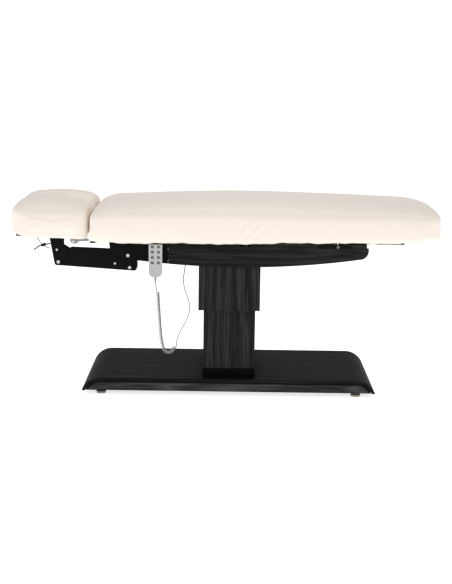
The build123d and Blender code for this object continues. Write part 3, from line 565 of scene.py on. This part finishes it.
def mattress_top(x, y, half_width):
    """Height of the padded top: highest just footwards of the middle, falling to every edge."""
    head_run = np.clip((CROWN_X - x) / 0.65, 0.0, 1.2)
    foot_run = np.clip((x - CROWN_X) / 0.80, 0.0, 1.2)
    ridge = CROWN_Z - 0.028 * head_run ** 1.6 - 0.024 * foot_run ** 1.6
    ends = (1 - smoothstep(-0.655, -0.530, x)) + 0.7 * smoothstep(0.88, 1.0, x)
    across = np.clip(np.abs(y) / half_width, 0.0, 1.0) ** 4.2
    return ridge - 0.020 * ends - (ridge - EDGE_Z) * across


def shape_mattress(piece):
    """Brings the padding to its crowned height, bows both ends, and adds the hem's line and the creases."""
    points = coordinates(piece)
    x, y, z = points.T
    half_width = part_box("mattress_seat")[1][1]
    bottom = float(np.percentile(z, 0.5))
    middle = (np.abs(y) < 0.15) & (np.abs(x - CROWN_X) < 0.30) & (z > bottom + 0.10)
    flat_top = float(np.median(z[middle]))
    height = np.clip((z - bottom) / (flat_top - bottom), 0.0, 1.1)
    z = bottom + height * (mattress_top(x, y, half_width) - bottom)
    lower = 1 - smoothstep(0.0, 0.45, height)
    scallop = 0.0012 * np.sin(x * 54.0) + 0.0012 * np.sin(x * 23.0 + 1.0) + 0.0008 * np.sin(x * 97.0 + 2.0)
    z = z + lower * (np.interp(x, HEM_X, HEM_Z) - bottom + scallop)
    # both ends bow outwards in plan, the foot end more
    share = np.clip(np.abs(y) / half_width, 0.0, 1.0) ** 2
    x = x + 0.004 * share * (1 - smoothstep(-0.62, -0.40, x)) - 0.014 * share * smoothstep(0.70, 0.96, x)
    # gentle side bulge, fullest below the middle
    side = smoothstep(0.90, 0.985, np.abs(y) / half_width)
    bulge = 0.005 * np.sin(np.pi * np.clip(height, 0, 1)) * smoothstep(0.85, 1.0, np.abs(y) / half_width)
    crease = sum(wrinkle(x, z, *line) for line in NEAR_WRINKLES)
    far_crease = sum(wrinkle(x + 0.05, z, *line) for line in NEAR_WRINKLES)
    y = y + np.sign(y) * (bulge - side * np.where(y < 0, crease, far_crease))
    set_coordinates(piece, np.stack((x, y, z), axis=1))


def split_at(piece, x_cut, name):
    """Cuts the cushion across and closes both cut ends; the part beyond x_cut becomes a new piece."""
    other = piece.copy()
    other.data = piece.data.copy()
    other.name = name
    scene.collection.objects.link(other)
    for part, keep_low in ((piece, True), (other, False)):
        bm = bmesh.new()
        bm.from_mesh(part.data)
        geometry = bm.verts[:] + bm.edges[:] + bm.faces[:]
        cut = bmesh.ops.bisect_plane(bm, geom=geometry, plane_co=(x_cut, 0, 0), plane_no=(1, 0, 0),
                                     clear_outer=keep_low, clear_inner=not keep_low)
        rim = [edge for edge in cut["geom_cut"] if isinstance(edge, bmesh.types.BMEdge)]
        for edge in rim:
            edge.smooth = False
        for face in bmesh.ops.holes_fill(bm, edges=rim)["faces"]:
            face.smooth = False
        bm.to_mesh(part.data)
        bm.free()
    return other


def make_mattress():
    """The bed's cushion, padded whole, then parted in the seat so that each part crosses one hinge."""
    back_low, leg_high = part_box("mattress_back")[0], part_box("mattress_leg")[1]
    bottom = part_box("mattress_seat")[0][2]
    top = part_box("mattress_seat")[1][2]
    margin = 0.006
    low = (back_low[0] - 0.007, back_low[1] + margin)
    high = (leg_high[0] + 0.011, leg_high[1] - margin)
    bm = cushion_rings(low, high, 0.036, 0.095, bottom + 0.004, top - margin, 0.028)
    mattress = new_piece("bed_cushion_head", bm, "leather")
    inflate(mattress, 0.0085, 0.005)
    shape_mattress(mattress)
    foot_part = split_at(mattress, 0.35, "bed_cushion_foot")
    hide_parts("mattress_back", "mattress_seat")
    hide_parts("mattress_leg")
    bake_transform(mattress)
    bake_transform(foot_part)


# ---------------------------------------------------------------- headrest
def hole_centre():
    low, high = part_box("face_plug")
    return (low[0] + high[0]) / 2, (low[1] + high[1]) / 2


CREST_X = (-1.000, -0.970, -0.930, -0.840, -0.760, -0.673, -0.650)
CREST_Z = (0.894, 0.906, 0.914, 0.919, 0.911, 0.897, 0.892)
VALLEY_X = (-0.960, -0.840, -0.760, -0.660)
VALLEY_DEPTH = (0.006, 0.016, 0.028, 0.052)
LOBE_Y, LOBE_EDGE_Z = 0.11, 0.872


def headrest_top(x, y):
    """Height of the headrest: two lobes with a valley between them that deepens towards the neck."""
    far_rise = 0.010 * smoothstep(-0.05, 0.10, y) * smoothstep(-0.90, -0.70, x)
    crest = np.interp(x, CREST_X, CREST_Z) + far_rise
    inwards = np.clip(np.abs(y) / LOBE_Y, 0, 1)
    dip = np.interp(x, VALLEY_X, VALLEY_DEPTH) * np.cos(np.pi / 2 * inwards) ** 2
    outwards = np.clip((np.abs(y) - LOBE_Y) / 0.23, 0.0, 1.0) ** 3.2
    return crest - dip - np.maximum(crest - LOBE_EDGE_Z, 0.0) * outwards


def make_headrest():
    """The headrest's ring of padding round its face hole: two lobes that part towards the neck."""
    low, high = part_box("headrest_pad")
    centre_x, centre_y = hole_centre()
    throat = (0.075, 0.052)       # radii of the hole under the plug and beside it, along X and Y
    mouth = (0.092, 0.066)
    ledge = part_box("face_plug")[0][2] - 0.0003
    hem_edge, top_edge = 0.011, 0.028
    head_corner, neck_corner = 0.080, 0.030
    top, bottom = high[2] - 0.004, low[2] + 0.002
    corner_low, corner_high = (low[0] + 0.004, low[1] + 0.004), (high[0] - 0.003, high[1] - 0.004)
    outline = rounded_outline(corner_low, corner_high, head_corner, neck_corner, 0.0, steps=24)
    rings = []
    bm = bmesh.new()

    def outer_ring(inset, height):
        points = rounded_outline(corner_low, corner_high, head_corner, neck_corner, inset, steps=24)
        rings.append([bm.verts.new((x, y, height)) for x, y in points])

    def hole_ring(radii, height):
        points = []
        for x, y in outline:
            angle = math.atan2((y - centre_y) / radii[1], (x - centre_x) / radii[0])
            points.append((centre_x + radii[0] * math.cos(angle), centre_y + radii[1] * math.sin(angle)))
        rings.append([bm.verts.new((x, y, height)) for x, y in points])

    for angle in reversed(quarter_turn(6)):
        outer_ring(hem_edge * (1 - math.cos(angle)), bottom + hem_edge * (1 - math.sin(angle)))
    for angle in quarter_turn(8):
        outer_ring(top_edge * (1 - math.cos(angle)), top - top_edge + top_edge * math.sin(angle))
    hole_ring((mouth[0] + 0.008, mouth[1] + 0.008), top)
    hole_ring((mouth[0] + 0.002, mouth[1] + 0.002), top - 0.004)
    hole_ring(mouth, top - 0.012)
    hole_ring(mouth, ledge)
    hole_ring(throat, ledge - 0.001)
    hole_ring(throat, bottom)
    stitch(bm, rings, closed=True)
    pad = new_piece("headrest_cushion", bm, "leather")
    inflate(pad, 0.0055, 0.003)
    shape_headrest(pad)
    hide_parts("headrest_pad")
    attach(pad, "headrest")


PAD_HEM_X = (-0.990, -0.957, -0.930, -0.810, -0.649)
PAD_HEM_Z = (0.760, 0.752, 0.744, 0.739, 0.736)


def shape_headrest(piece):
    """Brings the padding to its two-lobed height, with its hem, neck notch and sewn-down points."""
    low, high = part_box("headrest_pad")
    points = coordinates(piece)
    x, y, z = points.T
    bottom = float(np.percentile(z, 0.5))
    from_hole = x - hole_centre()[0]
    ring = (np.hypot(from_hole, y) > 0.16) & (np.abs(y) < 0.24) & (np.abs(from_hole) < 0.10)
    flat_top = float(np.median(z[ring & (z > bottom + 0.10)]))
    height = np.clip((z - bottom) / (flat_top - bottom), 0.0, 1.1)
    upper = smoothstep(0.35, 1.0, height)
    z = bottom + height * (headrest_top(x, y) - bottom)
    rim = smoothstep(0.62, 0.80, np.abs(y) / high[1])
    z = z + rim * (1 - smoothstep(0.0, 0.5, height)) * (np.interp(x, PAD_HEM_X, PAD_HEM_Z) - bottom)
    # neck notch in the middle of the edge that meets the bed cushion
    notch = np.exp(-(y / 0.030) ** 2) * smoothstep(high[0] - 0.070, high[0], x)
    x = x - 0.016 * notch * (0.35 + 0.65 * upper)
    # sewn-down points and the shallow crease between them, on both lobes
    for sign in (-1, 1):
        seam_y = 0.095 * sign
        ends = (low[0] + 0.075, high[0] - 0.102)
        for end_x in ends:
            near = np.hypot(x - end_x, y - seam_y)
            z = z - upper * 0.0105 * np.exp(-(near / 0.011) ** 2)
        past_first = smoothstep(ends[0] - 0.01, ends[0] + 0.03, x)
        between = past_first * (1 - smoothstep(ends[1] - 0.03, ends[1] + 0.01, x))
        z = z - upper * between * 0.0030 * np.exp(-((y - seam_y) / 0.012) ** 2)
    set_coordinates(piece, np.stack((x, y, z), axis=1))


def make_face_plug():
    """The padded plug that fills the face hole, following the headrest's valley."""
    low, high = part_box("face_plug")
    centre_x, centre_y = hole_centre()
    radius_x, radius_y = (high[0] - low[0]) / 2, (high[1] - low[1]) / 2
    bm = bmesh.new()
    rings = []
    levels = ((0.0, low[2]), (0.0, low[2] + 0.030), (0.0, high[2] - 0.016), (0.0025, high[2] - 0.007),
              (0.008, high[2] - 0.001), (0.020, high[2] + 0.002), (0.040, high[2] + 0.003))
    for inset, level in levels:
        ring = []
        for step in range(72):
            angle = 2 * math.pi * step / 72
            ring.append(bm.verts.new((centre_x + (radius_x - inset) * math.cos(angle),
                                      centre_y + (radius_y - inset) * math.sin(angle), level)))
        rings.append(ring)
    stitch(bm, rings)
    for ring, level, flip in ((rings[0], levels[0][1], True), (rings[-1], levels[-1][1], False)):
        middle = bm.verts.new((centre_x, centre_y, level))
        for index in range(len(ring)):
            pair = (ring[index], ring[(index + 1) % len(ring)])
            bm.faces.new((middle, *reversed(pair)) if flip else (middle, *pair))
    plug = new_piece("face_hole_plug", bm, "plug_leather")
    subdivide = plug.modifiers.new("subdivide", "SUBSURF")
    subdivide.levels = subdivide.render_levels = 2
    apply_modifiers(plug)
    plug.data.shade_smooth()
    points = coordinates(plug)
    upper = smoothstep(low[2] + 0.02, high[2], points[:, 2])
    top = float(points[:, 2].max())
    points[:, 2] += upper * (headrest_top(points[:, 0], points[:, 1]) - top + 0.001)
    set_coordinates(plug, points)
    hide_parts("face_plug")
    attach(plug, "face_plug")


# ---------------------------------------------------------------- handset cord
GLAND = (-0.185, -0.285, 0.630)
UPPER_LEAD = [
    GLAND, (-0.189, -0.295, 0.600), (-0.194, -0.320, 0.566), (-0.192, -0.340, 0.528),
    (-0.178, -0.345, 0.488), (-0.163, -0.345, 0.446), (-0.164, -0.345, 0.402), (-0.183, -0.345, 0.356),
    (-0.207, -0.345, 0.312), (-0.221, -0.345, 0.275), (-0.229, -0.345, 0.247),
]
COIL = [
    (-0.237, -0.345, 0.230), (-0.2485, -0.345, 0.217), (-0.2645, -0.345, 0.2135), (-0.2795, -0.345, 0.222),
    (-0.288, -0.345, 0.240), (-0.294, -0.345, 0.268), (-0.298, -0.345, 0.300), (-0.3005, -0.345, 0.330),
    (-0.3035, -0.345, 0.365), (-0.306, -0.345, 0.410), (-0.310, -0.345, 0.455), (-0.312, -0.345, 0.503),
]
LOWER_LEAD = [(-0.317, -0.345, 0.515), (-0.322, -0.345, 0.529), (-0.323, -0.345, 0.5425)]
CORD_RADIUS = 0.0025
COIL_RADIUS = 0.0066
COIL_PITCH = 0.0084
SIDESTEP = 0.016
SPIN_UP = 0.010


def spline_points(route, samples):
    """Points read from the smooth line through a cord's route."""
    curve = bpy.data.curves.new("route", "CURVE")
    curve.dimensions = "3D"
    curve.resolution_u = samples
    spline = curve.splines.new("NURBS")
    spline.points.add(len(route) - 1)
    for point, place in zip(spline.points, route):
        point.co = (*place, 1.0)
    spline.order_u = 3
    spline.use_endpoint_u = True
    holder = bpy.data.objects.new("route", curve)
    scene.collection.objects.link(holder)
    mesh = bpy.data.meshes.new_from_object(holder)
    line = np.array([vertex.co for vertex in mesh.vertices])
    bpy.data.objects.remove(holder)
    bpy.data.curves.remove(curve)
    bpy.data.meshes.remove(mesh)
    return line


def along(line):
    steps = np.linalg.norm(np.diff(line, axis=0), axis=1)
    return np.concatenate(([0.0], np.cumsum(steps)))


def sample(line, distances):
    run = along(line)
    return np.stack([np.interp(distances, run, line[:, axis]) for axis in range(3)], axis=1)


def cord_path():
    """The wire's own line: a plain lead, the helix of the curly stretch and the handset's lead."""
    line = spline_points(UPPER_LEAD + COIL + LOWER_LEAD, 24)
    run = along(line)
    coil_start = run[np.argmin(np.linalg.norm(line - np.array(UPPER_LEAD[-1]), axis=1))]
    coil_end = run[np.argmin(np.linalg.norm(line - np.array(COIL[-1]), axis=1))]
    turns = round((coil_end - coil_start) / COIL_PITCH)
    lead_in, coiled = coil_start - SIDESTEP, coil_end + SIDESTEP
    distances = np.concatenate((np.linspace(0.0, lead_in, 90, endpoint=False),
                                np.linspace(lead_in, coil_start, 8, endpoint=False),
                                np.linspace(coil_start, coil_end, turns * 16, endpoint=False),
                                np.linspace(coil_end, coiled, 8, endpoint=False),
                                np.linspace(coiled, run[-1], 8)))
    centre = sample(line, distances)
    ahead = sample(line, np.minimum(distances + 0.006, run[-1]))
    behind = sample(line, np.maximum(distances - 0.006, 0.0))
    forward = ahead - behind
    forward /= np.linalg.norm(forward, axis=1, keepdims=True)
    side = np.cross(forward, np.array((0.0, 1.0, 0.0)))
    side /= np.linalg.norm(side, axis=1, keepdims=True)
    lift = np.cross(forward, side)
    # the wire steps aside to the coil's radius, and only then starts to turn, slowly at first
    speed_up = smoothstep(0.0, SPIN_UP, distances - coil_start)
    speed = speed_up * (1 - smoothstep(-SPIN_UP, 0.0, distances - coil_end))
    turned = np.concatenate(([0.0], np.cumsum((speed[1:] + speed[:-1]) / 2 * np.diff(distances))))
    turn = 2 * np.pi * turns * turned / turned[-1]
    stepped_out = smoothstep(lead_in, coil_start, distances)
    radius = COIL_RADIUS * stepped_out * (1 - smoothstep(coil_end, coiled, distances))
    return centre + radius[:, None] * (np.cos(turn)[:, None] * side + np.sin(turn)[:, None] * lift)


def tube_mesh(path, radius, sides=8):
    """A tube along close points, its rings carried along without twisting."""
    bm = bmesh.new()
    rings = []
    direction = Vector(path[1] - path[0]).normalized()
    normal = direction.orthogonal().normalized()
    for index, point in enumerate(path):
        before, after = path[max(index - 1, 0)], path[min(index + 1, len(path) - 1)]
        heading = Vector(after - before).normalized()
        normal = (direction.rotation_difference(heading) @ normal).normalized()
        direction = heading
        other = heading.cross(normal)
        ring = []
        for side in range(sides):
            angle = 2 * math.pi * side / sides
            outwards = math.cos(angle) * normal + math.sin(angle) * other
            ring.append(bm.verts.new(Vector(point) + radius * outwards))
        rings.append(ring)
    stitch(bm, rings)
    bm.faces.new(list(reversed(rings[0])))
    bm.faces.new(rings[-1])
    return bm


def make_cord():
    path = cord_path()
    cord = new_piece("handset_cord", tube_mesh(path, CORD_RADIUS), "cord")
    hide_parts("cord_lead_upper", "cord_coil", "cord_lead_lower")
    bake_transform(cord)


# ---------------------------------------------------------------- handset details
def flat_mark(name, outline, centre, front, body, material="mark"):
    """A thin printed or moulded mark on a face towards -Y, from its outline of (X, Z) points."""
    bm = bmesh.new()
    face = bm.faces.new([bm.verts.new((centre[0] + x, front, centre[1] + z)) for x, z in outline])
    raised = bmesh.ops.extrude_face_region(bm, geom=[face])
    moved = [item for item in raised["geom"] if isinstance(item, bmesh.types.BMVert)]
    bmesh.ops.translate(bm, verts=moved, vec=(0, -0.00025, 0))
    mark = new_piece(name, bm, material, smooth=False)
    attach(mark, body)


def arrow(size, up):
    sign = 1 if up else -1
    return [(-size, -0.45 * size * sign), (size, -0.45 * size * sign), (0.0, 0.75 * size * sign)]


def ring_arc(radius, steps=20):
    return [(radius * math.cos(2 * math.pi * step / steps), radius * math.sin(2 * math.pi * step / steps))
            for step in range(steps)]


def make_handset_marks():
    """Up and down arrows on the keys, a bar under each that differs by function, and a signal lamp."""
    for number in range(1, 9):
        low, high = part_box(f"button_{number}")
        centre = ((low[0] + high[0]) / 2, (low[2] + high[2]) / 2)
        up = number % 2 == 0
        row = (number - 1) // 2
        arrow_centre = (centre[0], centre[1] + (0.0008 if up else -0.0008))
        flat_mark(f"key_arrow_{number}", arrow(0.0026, up), arrow_centre, low[1], f"button_{number}")
        half = 0.0012 + 0.0006 * row
        offset = -0.0030 if up else 0.0030
        bar = [(-half, -0.0004), (half, -0.0004), (half, 0.0004), (-half, 0.0004)]
        flat_mark(f"key_bar_{number}", bar, (centre[0], centre[1] + offset), low[1], f"button_{number}")
    low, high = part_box("handset_front")
    flat_mark("handset_lamp", ring_arc(0.0016), (low[0] + 0.019, low[2] + 0.029), low[1], "handset", "lamp")


# ---------------------------------------------------------------- build
make_camera()
make_cord()
make_light()
make_floor()
finish_nodes()
make_mattress()
make_headrest()
make_face_plug()
make_handset_marks()
